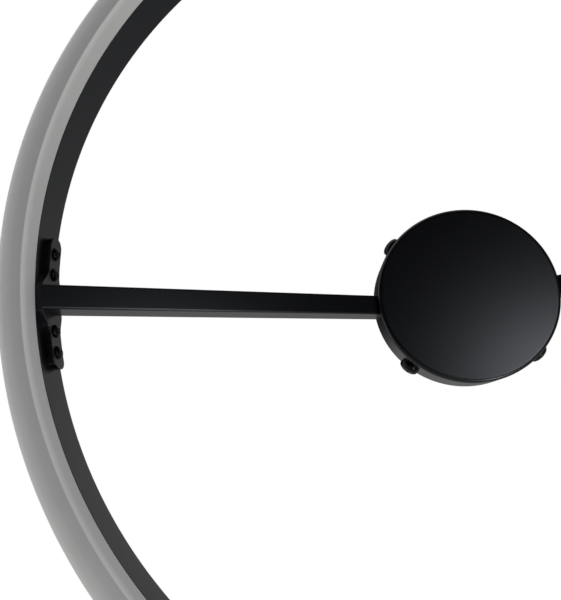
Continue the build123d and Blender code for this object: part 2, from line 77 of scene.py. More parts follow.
def startMaterial(name, values):
    # an empty tree with a shader, its output and the object's own coordinates
    material = bpy.data.materials.new(name)
    material.use_nodes = True
    tree = material.node_tree
    tree.nodes.clear()
    shader = addNode(tree, "ShaderNodeBsdfPrincipled", values=values)
    addNode(tree, "ShaderNodeOutputMaterial", links={"Surface": shader.outputs["BSDF"]})
    place = addNode(tree, "ShaderNodeTexCoord").outputs["Object"]
    return material, tree, shader, place


def putMesh(name, points, faces, sharpAngle=usualSharpAngle):
    # points (n, 3) in metres and a list of face index lists become one closed piece
    mesh = bpy.data.meshes.new(name)
    mesh.from_pydata(points.tolist(), [], faces)
    work = bmesh.new()
    work.from_mesh(mesh)
    bmesh.ops.remove_doubles(work, verts=work.verts, dist=1e-7)
    bmesh.ops.recalc_face_normals(work, faces=work.faces)
    work.to_mesh(mesh)
    work.free()
    mesh.shade_smooth()
    mesh.set_sharp_from_angle(angle=math.radians(sharpAngle))
    piece = bpy.data.objects.new(name, mesh)
    scene.collection.objects.link(piece)
    return piece


def gridFaces(rows, columns, wrapRows, wrapColumns, first=0):
    # quads of a rows x columns grid of points numbered row by row
    i = np.arange(rows if wrapRows else rows - 1)[:, None]
    j = np.arange(columns if wrapColumns else columns - 1)[None, :]
    nextRow, nextColumn = (i + 1) % rows, (j + 1) % columns
    near, far = i * columns, nextRow * columns
    quads = np.stack([near + j, far + j, far + nextColumn, near + nextColumn], -1)
    return (quads.reshape(-1, 4) + first).tolist()


def endCaps(rows, columns):
    # the two faces that close a tube whose first and last rows are its open ends
    return [list(range(columns)), list(range(rows * columns - 1, (rows - 1) * columns - 1, -1))]


def softLoop(corners, reach, steps=6, closed=True):
    # each corner p becomes the curve (1-s)^2 a + 2s(1-s) p + s^2 b, where a and b lie on its
    # two sides at that corner's reach from p, never past 0.45 of a side; one more point just
    # beyond a and one beyond b keep the flats flat in the shading
    longest, beyond = 0.45, 1.08
    p = np.array(corners, float)
    reach = np.broadcast_to(np.array(reach, float), len(p))
    before, after = np.roll(p, 1, 0) - p, np.roll(p, -1, 0) - p
    lengthBefore = np.linalg.norm(before, axis=1)
    lengthAfter = np.linalg.norm(after, axis=1)
    near = np.minimum(reach, longest * np.minimum(lengthBefore, lengthAfter))
    a = p + before * (near / lengthBefore)[:, None]
    b = p + after * (near / lengthAfter)[:, None]
    s = np.linspace(0, 1, steps)[None, :, None]
    curve = (1 - s) ** 2 * a[:, None] + 2 * s * (1 - s) * p[:, None] + s ** 2 * b[:, None]
    beyondA, beyondB = p + beyond * (a - p), p + beyond * (b - p)
    curve = np.concatenate([beyondA[:, None], curve, beyondB[:, None]], 1)
    if not closed:
        curve[0], curve[-1] = p[0], p[-1]
    return curve.reshape(-1, p.shape[1])


def turned(profile, angles):
    # profile point (r, y) at angle t goes to (r cos t, y, r sin t): rows are angles
    r, y = profile[None, :, 0], profile[None, :, 1]
    t = np.asarray(angles)[:, None]
    return np.stack([r * np.cos(t), y + 0 * t, r * np.sin(t)], -1)


def cutWith(piece, cutters):
    # takes the cutters' bodies out of a piece for good, then shades it again
    for cutter in cutters:
        step = piece.modifiers.new("cut", "BOOLEAN")
        step.operation, step.solver, step.object = "DIFFERENCE", "EXACT", cutter
    bpy.context.view_layer.update()
    ready = piece.evaluated_get(bpy.context.evaluated_depsgraph_get())
    mesh = bpy.data.meshes.new_from_object(ready)
    mesh.name = piece.name
    piece.modifiers.clear()
    piece.data = mesh
    for cutter in cutters:
        bpy.data.objects.remove(cutter)
    mesh.shade_smooth()
    mesh.set_sharp_from_angle(angle=math.radians(usualSharpAngle))
    return piece


def rodBetween(start, end, radius):
    # closed round rod from start to end, in metres, used only as a cutter: both ends are the
    # circle radius (cos t side + sin t up), square to the axis
    around = 48
    start, end = np.array(start, float), np.array(end, float)
    axis = (end - start) / np.linalg.norm(end - start)
    side = np.cross(axis, (0, 1, 0) if abs(axis[1]) < 0.9 else (1, 0, 0))
    side /= np.linalg.norm(side)
    up = np.cross(axis, side)
    t = np.linspace(0, 2 * np.pi, around, endpoint=False)[:, None]
    ring = radius * (np.cos(t) * side + np.sin(t) * up)
    points = np.concatenate([start + ring, end + ring])
    return putMesh("cutter", points, gridFaces(2, around, False, True) + endCaps(2, around))


def finishPiece(piece, body, slotName, *replaced):
    # gives a piece its finish, the body it moves with and the CAD nodes it stands for
    piece.data.materials.clear()
    piece.data.materials.append(finishes[slotName])
    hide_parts(*replaced)
    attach(piece, body)
    return piece


cameraSet = {
    "place": (-0.1343, -0.4168, -0.0987),  # metres: in front of the left arm, a little below it
    "turn": (100.96, 5.698, 3.519),        # degrees about X, Y and Z
    "lens": 31.64, "sensor": 36,           # mm
    "shift": (0.0124, 0.0748),
    "nearest": 0.01,
}
cameraData = bpy.data.cameras.new("camera")
cameraData.lens = cameraSet["lens"]
cameraData.sensor_width = cameraSet["sensor"]
cameraData.sensor_fit = "AUTO"
cameraData.shift_x, cameraData.shift_y = cameraSet["shift"]
cameraData.clip_start = cameraSet["nearest"]
camera = bpy.data.objects.new("camera", cameraData)
camera.location = cameraSet["place"]
camera.rotation_euler = [math.radians(v) for v in cameraSet["turn"]]
scene.collection.objects.link(camera)
scene.camera = camera
scene.view_settings.view_transform = "Standard"
print("camera placed")


# Every span gives where a share starts to fall and where it reaches its own level.
stageSet = {
    "floorZ": -1.2, "floorRadius": 3.2, "floorColour": "#eeedeb",
    "floorShade": 0.96, "cloudsPerMetre": 3.0,   # faint clouds on the floor
    "backdrop": 1.0,      # what the camera sees behind everything
    # the room's brightness against a direction's Y, from the dark front to the back
    "depthSteps": ((-1.0, 0.005), (-0.62, 0.02), (-0.2, 1.12), (0.2, 1.12), (0.6, 0.5), (1.0, 0.5)),
    "rightSpan": (-0.25, 0.6), "rightShare": 0.62,   # against X
    "topSpan": (-0.1, 0.7), "topShare": 1.15,        # against Z
    # black cards: one in front on the right, one behind and up on the left
    "flagWay": (0.86, -0.45, 0.24), "flagSpan": (0.5, 0.82), "flagShare": 0.02,
    "backFlagWay": (-0.45, 0.80, 0.40), "backFlagSpan": (0.77, 0.94), "backFlagShare": 0.05,
}
softboxes = {
    "softboxRight": {"place": (0.57, -1.04, -0.05), "aim": (0.03, 0, -0.03), "size": 0.42, "watts": 2.8},
    "softboxLowFront": {"place": (0.5, -0.75, -0.8), "aim": (-0.2, -0.1, 0), "size": 0.15, "watts": 3.0},
}


def makeFloor(given):
    # flat disc: radius a times the rim angle b, both on a grid
    rings, around = 12, 96
    a = np.linspace(0, given["floorRadius"], rings)[:, None]
    b = np.linspace(0, 2 * np.pi, around, endpoint=False)[None, :]
    points = np.stack([a * np.cos(b), a * np.sin(b), given["floorZ"] + 0 * a * b], -1)
    floor = putMesh("paleFloor", points.reshape(-1, 3), gridFaces(rings, around, False, True))
    if floor.data.polygons[0].normal.z < 0:
        floor.data.flip_normals()
    # painted screed: pale and matt, with a faint trowelled cloudiness
    material, tree, shader, place = startMaterial("palePaintedFloor", {"Roughness": 0.75})
    cloud = addNode(
        tree, "ShaderNodeTexNoise", values={"Scale": given["cloudsPerMetre"], "Detail": 3.0},
        links={"Vector": place},
    )
    base = linearColour(given["floorColour"])
    dull = tuple(c * given["floorShade"] for c in base[:3]) + (1.0,)
    tint = addNode(
        tree, "ShaderNodeMix", {"data_type": "RGBA"}, {6: base, 7: dull}, {0: cloud.outputs["Fac"]}
    )
    tree.links.new(tint.outputs[2], shader.inputs["Base Color"])
    floor.data.materials.append(material)


def makeRoomLight(given):
    # brightness is a curve over the direction's Y, times a share that falls off to the right,
    # one that changes upwards and one for each black card
    world = bpy.data.worlds.new("studio")
    scene.world = world
    world.use_nodes = True
    tree = world.node_tree
    tree.nodes.clear()
    way = addNode(tree, "ShaderNodeTexCoord").outputs["Generated"]
    parts = addNode(tree, "ShaderNodeSeparateXYZ", links={"Vector": way})
    unit = addNode(
        tree, "ShaderNodeMapRange", values={"From Min": -1.0, "From Max": 1.0},
        links={"Value": parts.outputs["Y"]},
    )
    curve = addNode(tree, "ShaderNodeValToRGB", links={"Fac": unit.outputs["Result"]})
    stops = curve.color_ramp.elements
    while len(stops) < len(given["depthSteps"]):
        stops.new(0.5)
    for stop, (y, level) in zip(stops, given["depthSteps"]):
        stop.position, stop.color = (y + 1) / 2, (level, level, level, 1)
    sources = {"right": parts.outputs["X"], "top": parts.outputs["Z"]}
    for card in ("flag", "backFlag"):
        facing = addNode(
            tree, "ShaderNodeVectorMath", {"operation": "DOT_PRODUCT"}, {1: given[card + "Way"]}, {0: way}
        )
        sources[card] = facing.outputs["Value"]
    strength = None
    for name, source in sources.items():
        start, end = given[name + "Span"]
        share = addNode(
            tree, "ShaderNodeMapRange", {"interpolation_type": "SMOOTHSTEP"},
            {"From Min": start, "From Max": end, "To Min": 1.0, "To Max": given[name + "Share"]},
            {"Value": source},
        ).outputs["Result"]
        if strength is not None:
            share = addNode(
                tree, "ShaderNodeMath", {"operation": "MULTIPLY"}, links={0: strength, 1: share}
            ).outputs[0]
        strength = share
    room = addNode(
        tree, "ShaderNodeBackground", links={"Color": curve.outputs["Color"], "Strength": strength}
    )
    plain = addNode(
        tree, "ShaderNodeBackground", values={"Color": (1, 1, 1, 1), "Strength": given["backdrop"]}
    )
    seen = addNode(tree, "ShaderNodeLightPath").outputs["Is Camera Ray"]
    mixed = addNode(tree, "ShaderNodeMixShader", links={0: seen, 1: room.outputs[0], 2: plain.outputs[0]})
    addNode(tree, "ShaderNodeOutputWorld", links={"Surface": mixed.outputs[0]})


def makeSoftbox(name, given):
    # a round soft light turned from its place towards its aim, unseen by the camera
    lamp = bpy.data.lights.new(name, "AREA")
    lamp.shape, lamp.size, lamp.energy = "DISK", given["size"], given["watts"]
    holder = bpy.data.objects.new(name, lamp)
    holder.location = given["place"]
    way = np.array(given["aim"], float) - np.array(given["place"], float)
    holder.rotation_euler = (
        math.atan2(math.hypot(way[0], way[1]), -way[2]), 0, math.atan2(way[1], way[0]) - math.pi / 2
    )
    holder.visible_camera = False
    scene.collection.objects.link(holder)


makeFloor(stageSet)
makeRoomLight(stageSet)
for name, given in softboxes.items():
    makeSoftbox(name, given)
print("stage and lights ready")


noiseSpan = {"From Min": 0.3, "From Max": 0.7}  # where most of a noise's values lie


def feedShader(tree, shader, tint, rough, relief=None):
    # the links that end every finish
    tree.links.new(tint.outputs[2], shader.inputs["Base Color"])
    tree.links.new(rough.outputs["Result"], shader.inputs["Roughness"])
    if relief:
        tree.links.new(relief.outputs["Normal"], shader.inputs["Normal"])


def powderCoatMaterial():
    # Polyester powder coat on steel and aluminium, sprayed and baked: deep black with a cool
    # satin sheen, and a fine orange peel. The peel's real 0.4 mm dimples are drawn at 1.2 mm.
    peelPitch, cloudSize = 1.2 * mm, 45 * mm
    material, tree, shader, place = startMaterial(
        "polyesterPowderCoatBlack", {"IOR": 1.46, "Specular Tint": (0.88, 0.92, 1.0, 1.0)}
    )
    peel = addNode(
        tree, "ShaderNodeTexNoise", values={"Scale": 1 / peelPitch, "Detail": 2.0}, links={"Vector": place}
    )
    cloud = addNode(
        tree, "ShaderNodeTexNoise", values={"Scale": 1 / cloudSize, "Detail": 2.0}, links={"Vector": place}
    )
    tint = addNode(
        tree, "ShaderNodeMix", {"data_type": "RGBA"},
        {6: linearColour("#040406"), 7: linearColour("#07070a")}, {0: cloud.outputs["Fac"]},
    )
    rough = addNode(
        tree, "ShaderNodeMapRange", values={**noiseSpan, "To Min": 0.29, "To Max": 0.31},
        links={"Value": peel.outputs["Fac"]},
    )
    relief = addNode(
        tree, "ShaderNodeBump", values={"Strength": 0.12, "Distance": 0.02 * mm},
        links={"Height": peel.outputs["Fac"]},
    )
    feedShader(tree, shader, tint, rough, relief)
    return material


def siliconeMaterial():
    # Opal silicone, extruded and rolled round: milky grey with the lamp off, satin, with faint
    # die lines that run round the ring every 0.7 mm and a slow unevenness in the pigment. Its
    # colour has painted shade beside the crease and across the middle of the front, and painted
    # light, palest, over the outer wall and on the inner flank. These tones are (radius in mm, colour).
    linePitch, cloudSize = 0.7 * mm, 22 * mm
    # painted light and shade by radius: darker tones paint shade, paler ones paint light
    paintedShadingTones = (
        (280.9, "#d0d1d0"), (281.6, "#dbdcdb"), (282.4, "#e6e7e6"), (282.9, "#e2e3e2"),
        (283.3, "#c4c5c5"), (288.5, "#cccdcd"), (293.5, "#dfe0df"), (298.5, "#f8f8f7"),
    )
    innermost, outermost = paintedShadingTones[0][0], paintedShadingTones[-1][0]
    material, tree, shader, place = startMaterial(
        "opalSiliconeExtruded", {"IOR": 1.41, "Sheen Weight": 0.04, "Sheen Roughness": 0.5}
    )
    parts = addNode(tree, "ShaderNodeSeparateXYZ", links={"Vector": place})
    flat = addNode(tree, "ShaderNodeCombineXYZ", links={"X": parts.outputs["X"], "Z": parts.outputs["Z"]})
    radius = addNode(tree, "ShaderNodeVectorMath", {"operation": "LENGTH"}, links={0: flat.outputs[0]})
    across = addNode(
        tree, "ShaderNodeCombineXYZ", links={"X": radius.outputs["Value"], "Y": parts.outputs["Y"]}
    )
    lines = addNode(
        tree, "ShaderNodeTexNoise", values={"Scale": 1 / linePitch, "Detail": 1.0},
        links={"Vector": across.outputs[0]},
    )
    cloud = addNode(
        tree, "ShaderNodeTexNoise", values={"Scale": 1 / cloudSize, "Detail": 3.0}, links={"Vector": place}
    )
    overWidth = addNode(
        tree, "ShaderNodeMapRange", values={"From Min": innermost * mm, "From Max": outermost * mm},
        links={"Value": radius.outputs["Value"]},
    )
    # this ramp paints light and shade across the width of the diffuser
    paintedShadingRamp = addNode(tree, "ShaderNodeValToRGB", links={"Fac": overWidth.outputs["Result"]})
    stops = paintedShadingRamp.color_ramp.elements
    while len(stops) < len(paintedShadingTones):
        stops.new(0.5)
    for stop, (r, code) in zip(stops, paintedShadingTones):
        stop.position, stop.color = (r - innermost) / (outermost - innermost), linearColour(code)
    tint = addNode(
        tree, "ShaderNodeMix", {"data_type": "RGBA", "blend_type": "MULTIPLY"},
        {7: linearColour("#f6f7f6")}, {0: cloud.outputs["Fac"], 6: paintedShadingRamp.outputs["Color"]},
    )
    rough = addNode(
        tree, "ShaderNodeMapRange", values={**noiseSpan, "To Min": 0.46, "To Max": 0.56},
        links={"Value": lines.outputs["Fac"]},
    )
    relief = addNode(
        tree, "ShaderNodeBump", values={"Strength": 0.3, "Distance": 0.03 * mm},
        links={"Height": lines.outputs["Fac"]},
    )
    feedShader(tree, shader, tint, rough, relief)
    return material


def blackScrewMaterial():
    # Steel screws with a black oxide finish, oiled: near black metal with a satin glint, and
    # rubbed a little lighter in patches about 1.5 mm across where a driver has turned.
    patchSize = 1.5 * mm
    material, tree, shader, place = startMaterial("blackOxideSteel", {"Metallic": 0.9})
    patch = addNode(
        tree, "ShaderNodeTexNoise", values={"Scale": 1 / patchSize, "Detail": 3.0}, links={"Vector": place}
    )
    tint = addNode(
        tree, "ShaderNodeMix", {"data_type": "RGBA"},
        {6: linearColour("#101012"), 7: linearColour("#28282a")}, {0: patch.outputs["Fac"]},
    )
    rough = addNode(
        tree, "ShaderNodeMapRange", values={**noiseSpan, "To Min": 0.2, "To Max": 0.32},
        links={"Value": patch.outputs["Fac"]},
    )
    feedShader(tree, shader, tint, rough)
    return material


def zincMaterial():
    # Bright zinc electroplate on pressed steel: cool silver, with rolling marks 0.5 mm apart
    # that run 20 mm along Z, and soft spangles about 6 mm across.
    markPitch, markLength, spangleSize = 0.5 * mm, 20 * mm, 6 * mm
    material, tree, shader, place = startMaterial("brightZincPlate", {"Metallic": 1.0})
    squeezed = addNode(
        tree, "ShaderNodeMapping", values={"Scale": (1 / markPitch, 1 / markPitch, 1 / markLength)},
        links={"Vector": place},
    )
    marks = addNode(
        tree, "ShaderNodeTexNoise", values={"Scale": 1.0, "Detail": 2.0},
        links={"Vector": squeezed.outputs[0]},
    )
    spangle = addNode(
        tree, "ShaderNodeTexVoronoi", values={"Scale": 1 / spangleSize}, links={"Vector": place}
    )
    tint = addNode(
        tree, "ShaderNodeMix", {"data_type": "RGBA"},
        {6: linearColour("#b9bcc2"), 7: linearColour("#cfd1d5")}, {0: spangle.outputs["Distance"]},
    )
    rough = addNode(
        tree, "ShaderNodeMapRange", values={**noiseSpan, "To Min": 0.26, "To Max": 0.4},
        links={"Value": marks.outputs["Fac"]},
    )
    relief = addNode(
        tree, "ShaderNodeBump", values={"Strength": 0.15, "Distance": 0.01 * mm},
        links={"Height": marks.outputs["Fac"]},
    )
    feedShader(tree, shader, tint, rough, relief)
    return material


def mouldedMaterial(given):
    # a moulded or coated surface: two close tints in patches, a grain in the gloss and relief
    material, tree, shader, place = startMaterial(given["name"], {"IOR": given["ior"]})
    patch = addNode(
        tree, "ShaderNodeTexNoise", values={"Scale": 1 / (given["patch"] * mm), "Detail": 2.0},
        links={"Vector": place},
    )
    grain = addNode(
        tree, "ShaderNodeTexNoise", values={"Scale": 1 / (given["grain"] * mm), "Detail": 1.0},
        links={"Vector": place},
    )
    first, second = (linearColour(code) for code in given["colours"])
    tint = addNode(
        tree, "ShaderNodeMix", {"data_type": "RGBA"}, {6: first, 7: second}, {0: patch.outputs["Fac"]}
    )
    low, high = given["roughness"]
    rough = addNode(
        tree, "ShaderNodeMapRange", values={**noiseSpan, "To Min": low, "To Max": high},
        links={"Value": grain.outputs["Fac"]},
    )
    relief = addNode(
        tree, "ShaderNodeBump", values={"Strength": 0.2, "Distance": given["relief"] * mm},
        links={"Height": grain.outputs["Fac"]},
    )
    feedShader(tree, shader, tint, rough, relief)
    return material


# Sizes in mm: patch is the width of the colour patches, grain the pitch of the surface grain
# and relief the height of its bumps.
mouldedFinishes = {
    # polyimide strip with white solder mask, printed: chalky, nearly even
    "white_circuit_film": {"name": "whiteSolderMaskFilm", "ior": 1.5, "colours": ("#e8e9e6", "#f1f1ee"),
                           "patch": 12, "grain": 0.5, "roughness": (0.5, 0.6), "relief": 0.01},
    # silicone with yellow phosphor, dispensed: glossy and slightly uneven
    "led_phosphor": {"name": "yellowPhosphorSilicone", "ior": 1.45, "colours": ("#e8c95a", "#f2d975"),
                     "patch": 1.5, "grain": 0.4, "roughness": (0.15, 0.25), "relief": 0.01},
    # injection-moulded ABS with a spark-eroded texture: satin off-white
    "white_abs": {"name": "mouldedWhiteAbs", "ior": 1.53, "colours": ("#dddcd6", "#e7e6e0"),
                  "patch": 18, "grain": 0.4, "roughness": (0.4, 0.55), "relief": 0.02},
    # injection-moulded polyamide: milky cream with flow marks
    "terminal_polyamide": {"name": "mouldedPolyamide", "ior": 1.53, "colours": ("#e4e0d3", "#eeeadd"),
                           "patch": 7, "grain": 0.5, "roughness": (0.35, 0.5), "relief": 0.02},
    # glass-epoxy laminate with green solder mask: the weave shows faintly at 0.5 mm
    "circuit_board": {"name": "greenGlassEpoxyBoard", "ior": 1.5, "colours": ("#1c5a32", "#246b3d"),
                      "patch": 9, "grain": 0.5, "roughness": (0.25, 0.4), "relief": 0.02},
    # moulded epoxy and shrink sleeve on the components: dark satin
    "component_plastic": {"name": "mouldedEpoxyCases", "ior": 1.55, "colours": ("#212124", "#2d2d30"),
                          "patch": 4, "grain": 0.4, "roughness": (0.35, 0.5), "relief": 0.02},
    # EPDM rubber, moulded: matt black with a dusty bloom
    "black_rubber": {"name": "mouldedBlackRubber", "ior": 1.52, "colours": ("#1d1d1d", "#2a2a2a"),
                     "patch": 3, "grain": 0.5, "roughness": (0.65, 0.8), "relief": 0.03},
    # PVC wire insulation, extruded: satin pale grey
    "wire_pvc": {"name": "extrudedPvcInsulation", "ior": 1.53, "colours": ("#d4d4d0", "#e0e0dc"),
                 "patch": 6, "grain": 0.6, "roughness": (0.35, 0.48), "relief": 0.01},
}

finishes = {
    "black_powder_coat": powderCoatMaterial(),
    "black_screw": blackScrewMaterial(),
    "opal_silicone": siliconeMaterial(),
    "zinc_plated_steel": zincMaterial(),
}
finishes.update({slotName: mouldedMaterial(given) for slotName, given in mouldedFinishes.items()})
for part in record["subparts"]:
    for holder in nodes[part["node"]].material_slots:
        holder.material = finishes[part["material_slot"]]
print("finishes on", len(record["subparts"]), "nodes")


# Every size from here on is in mm, apart from angles, which are in degrees.
ringLow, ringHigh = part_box("ring_channel")
ringSet = {
    "outerRadius": ringHigh.x / mm - 0.1,  # a hair inside the CAD box
    "width": 18.9,
    "frontY": ringLow.y / mm,
    "backY": ringHigh.y / mm - 0.02,
    "mouthWall": 1.5, "mouthDepth": 8,
    "lipRound": 0.3, "backRound": 1.4,
    "joint": 0.3,         # gap of the butt joint at the top
    "around": 480, "cornerSteps": 5,   # sections round the ring, points in a corner
    "setScrewTurn": 2,    # degrees each side of the joint
    "setScrewHole": 2.62, "setScrewDepth": 1.2,   # the hole's radius, and how far in it starts
}
diffuserSet = {
    "crownY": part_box("diffuser")[0].y / mm + 0.05,
    "crease": 2.1, "creaseAngle": 28,       # how far in from the inner edge, and its turn
    "frontFall": 2.5, "outerRound": 5.5,
    "footRound": 0.9, "insideRound": 0.2, "wall": 1.8,
    "legDepth": 5.6, "legWall": 1.4, "legGap": 0.1, "legRise": 1,
    # the inside of the wall: where its roof ends, in from each edge, and its two shoulders
    "roofLift": 0.6, "roofOuter": 7, "roofInner": 5,
    "shoulderOuter": 2.5, "shoulderOuterDrop": 4, "shoulderInnerDrop": 2.5,
    "flankSteps": 12, "frontSteps": 16, "outerSteps": 13, "sharpAngle": 24,
}


def ringAngles(given):
    # once round from one face of the butt joint to the other
    half = given["joint"] / 2 / given["outerRadius"]
    return np.linspace(math.pi / 2 + half, 2.5 * math.pi - half, given["around"])


def sweptRing(name, profile, angles, sharpAngle=usualSharpAngle):
    # the section turned through the angles, closed by a face at each end
    grid = turned(profile, angles) * mm
    rows, columns = grid.shape[:2]
    faces = gridFaces(rows, columns, False, True) + endCaps(rows, columns)
    return putMesh(name, grid.reshape(-1, 3), faces, sharpAngle)


def makeChannel(given):
    # section: a box with a mouth in its front, corners softened, carried round the ring
    outer, inner = given["outerRadius"], given["outerRadius"] - given["width"]
    front, back, web = given["frontY"], given["backY"], given["frontY"] + given["mouthDepth"]
    wall = given["mouthWall"]
    corners = [
        (inner, front), (inner, back), (outer, back), (outer, front),
        (outer - wall, front), (outer - wall, web), (inner + wall, web), (inner + wall, front),
    ]
    lip, heel = given["lipRound"], given["backRound"]
    profile = softLoop(corners, (lip, heel, heel, lip, lip, lip, lip, lip), given["cornerSteps"])
    piece = sweptRing("ringChannel", profile, ringAngles(given))
    # holes for the two set screws, from inside the back wall to clear of it
    middle, clear = outer - given["width"] / 2, 2
    cutters = []
    for side in (-1, 1):
        t = math.radians(90 + side * given["setScrewTurn"])
        x, z = middle * math.cos(t) * mm, middle * math.sin(t) * mm
        start, end = (x, (back - given["setScrewDepth"]) * mm, z), (x, (back + clear) * mm, z)
        cutters.append(rodBetween(start, end, given["setScrewHole"] * mm))
    return cutWith(piece, cutters)


def makeDiffuser(given, ring):
    # the front is a height over the width: from the crease outwards it falls off with the
    # square of the distance, plus a quarter circle at the outer edge; from the crease inwards
    # it is a circle's arc that starts turned by the crease's angle and ends upright. Below it
    # come a rolled foot on the channel's lips, two legs in its mouth, and the wall's inside
    outer, inner = ring["outerRadius"], ring["outerRadius"] - ring["width"]
    foot, wall, large = ring["frontY"], given["wall"], given["outerRound"]
    crease, start = inner + given["crease"], math.radians(given["creaseAngle"])
    arc = given["crease"] / (1 - math.sin(start))
    bend = np.sin(np.linspace(0, math.pi / 2, given["outerSteps"]))
    flank = np.cos(np.linspace(0, math.pi / 2 - start, given["flankSteps"]))
    inwards = inner + arc * (1 - flank)
    level = np.linspace(crease, outer - large, given["frontSteps"])[1:-1]
    outwards = np.concatenate([level, outer - large + large * bend])
    innerY = arc * (math.cos(start) - np.sqrt(1 - flank ** 2))
    outerY = given["frontFall"] * ((outwards - crease) / (outer - crease)) ** 2
    outerY += large - np.sqrt(np.maximum(large ** 2 - np.maximum(outwards - outer + large, 0) ** 2, 0))
    across = np.concatenate([inwards, outwards])
    front = np.stack([across, given["crownY"] + np.concatenate([innerY, outerY])], -1)
    legOut = ring["mouthWall"] + given["legGap"]
    legIn, tip, top = legOut + given["legWall"], foot + given["legDepth"], given["crownY"] + wall
    legTop, roof = foot - given["legRise"], top + given["roofLift"]
    corners = [
        (outer, foot), (outer - legOut, foot), (outer - legOut, tip), (outer - legIn, tip),
        (outer - legIn, legTop), (outer - wall - given["shoulderOuter"], top + given["shoulderOuterDrop"]),
        (outer - given["roofOuter"], roof), (inner + given["roofInner"], roof),
        (inner + wall, top + given["shoulderInnerDrop"]), (inner + legIn, legTop),
        (inner + legIn, tip), (inner + legOut, tip), (inner + legOut, foot), (inner, foot),
    ]
    steps, tiny = 6, 0.01
    reach = [tiny, given["footRound"]] + [given["insideRound"]] * 12 + [given["footRound"], tiny]
    under = softLoop([front[-1]] + corners + [front[0]], reach, steps, closed=False)
    ends = steps + 2  # the front already has the first and the last corner
    section = np.concatenate([front, under[ends:-ends]])
    return sweptRing("diffuserSkin", section, ringAngles(ring), given["sharpAngle"])


channel = finishPiece(makeChannel(ringSet), "lamp", "black_powder_coat", "ring_channel")
skin = finishPiece(makeDiffuser(diffuserSet, ringSet), "lamp", "opal_silicone", "diffuser")
print("ring made,", len(channel.data.polygons) + len(skin.data.polygons), "faces")


canopyLow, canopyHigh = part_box("canopy_shell")
canopySet = {
    "radius": canopyHigh.x / mm - 0.02,
    "frontY": canopyLow.y / mm + 0.01, "rearY": canopyHigh.y / mm,
    "wall": 1.2, "rim": 3.4, "edge": 0.3, "around": 288,
    "frontRings": 10, "frontRingSpan": (0.05, 0.9),   # of the radius
    "screwHole": 3.3, "screwY": -9,                   # the hole's radius and its middle
    "screwAngles": (135, 225, 315, 45),
}


def makeCanopy(given):
    # section of a cup from the axis over the front and rim to the open back, and back inside
    r, front, rear, wall = given["radius"], given["frontY"], given["rearY"], given["wall"]
    corners = [
        (0, front), (r, front), (r, rear), (r - wall, rear), (r - wall, front + wall), (0, front + wall)
    ]
    steps, tiny = 9, 0.01
    reach = (tiny, given["rim"], given["edge"], given["edge"], given["rim"] - wall, tiny)
    bend = softLoop(corners, reach, steps, closed=False)
    shares = np.linspace(*given["frontRingSpan"], given["frontRings"])[:, None]
    flat = shares * np.array([[r, 0]]) + np.array([[0, front]])
    ends = steps + 2  # the first and the last corner stay as plain points on the axis
    profile = np.concatenate([[[0, front]], flat, bend[ends:-ends], [[0, front + wall]]])
    angles = np.linspace(0, 2 * np.pi, given["around"], endpoint=False)
    grid = turned(profile, angles) * mm
    piece = putMesh("canopyCup", grid.reshape(-1, 3), gridFaces(*grid.shape[:2], True, False))
    clear, y = 4, given["screwY"] * mm
    near, far = (r - clear) * mm, (r + clear) * mm
    cutters = []
    for angle in given["screwAngles"]:
        c, s = math.cos(math.radians(angle)), math.sin(math.radians(angle))
        cutters.append(rodBetween((near * c, y, near * s), (far * c, y, far * s), given["screwHole"] * mm))
    return cutWith(piece, cutters)


finishPiece(makeCanopy(canopySet), "lamp", "black_powder_coat", "canopy_shell")
print("canopy made")


armSet = {
    "height": 15, "depth": 16.5, "wall": 1.2,
    "corner": 1.3, "insideCorner": 0.4, "cornerSteps": 7,
    "ringEnd": 277.0,                                # radius of the plate's face
    "ringRadius": 281.0, "yAtRing": -123.4,          # two points on the arm's middle line
    "canopyEnd": 68.0, "yAtCanopy": -11.3,
    "sharpAngle": 40,
}


def makeArm(name, side, node, given):
    # a softened rectangle (z, b) slides along the line y = yAtRing + slope (ringRadius - |x|);
    # b is the depth across the arm, so it adds b / cos(tilt) to y; both ends are cut to
    # cylinders about the ring's axis, x = sqrt(radius^2 - z^2)
    slope = (given["yAtCanopy"] - given["yAtRing"]) / (given["ringRadius"] - given["canopyEnd"])
    low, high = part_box(node)
    rootEnd = min(abs(low.x), abs(high.x)) / mm
    h, d, wall = given["height"] / 2, given["depth"] / 2, given["wall"]

    def loop(inset, corner):
        a, b = h - inset, d - inset
        return softLoop([(-a, -b), (a, -b), (a, b), (-a, b)], corner, given["cornerSteps"])

    outside, inside = loop(0, given["corner"]), loop(wall, given["insideCorner"])
    ringEnd, rootRadius = given["ringEnd"], math.hypot(rootEnd, h)
    walk = [(outside, ringEnd), (outside, rootRadius), (inside, rootRadius), (inside, ringEnd)]
    rows = []
    for line, radius in walk:
        z, b = line[:, 0], line[:, 1]
        x = np.sqrt(radius ** 2 - z ** 2)
        y = given["yAtRing"] + slope * (given["ringRadius"] - x) + b * math.hypot(1, slope)
        rows.append(np.stack([side * x, y, z], -1))
    grid = np.stack(rows) * mm
    faces = gridFaces(*grid.shape[:2], True, True)
    piece = putMesh(name, grid.reshape(-1, 3), faces, given["sharpAngle"])
    return finishPiece(piece, "lamp", "black_powder_coat", node)


makeArm("armTubeLeft", -1, "arm_left", armSet)
makeArm("armTubeRight", 1, "arm_right", armSet)
print("arms made")


bracketSet = {
    "thickness": 4, "faceRadius": 277.0, "halfLength": 41,
    "waist": 8, "waistReach": 0.6, "neck": 17, "neckReach": 3, "earRound": 6,
    "frontY": -129.8, "backY": -105.02, "earFrontY": -121.8, "earBackY": -108.2,
    "edge": 0.45, "bevelShare": 0.3, "flatShare": 1.2,   # a soft edge's middle, where flats begin
    "backGap": 0.02,
    "bendSteps": 9, "alongSteps": 70, "endSteps": 14,
    "sharpAngle": 50,
}


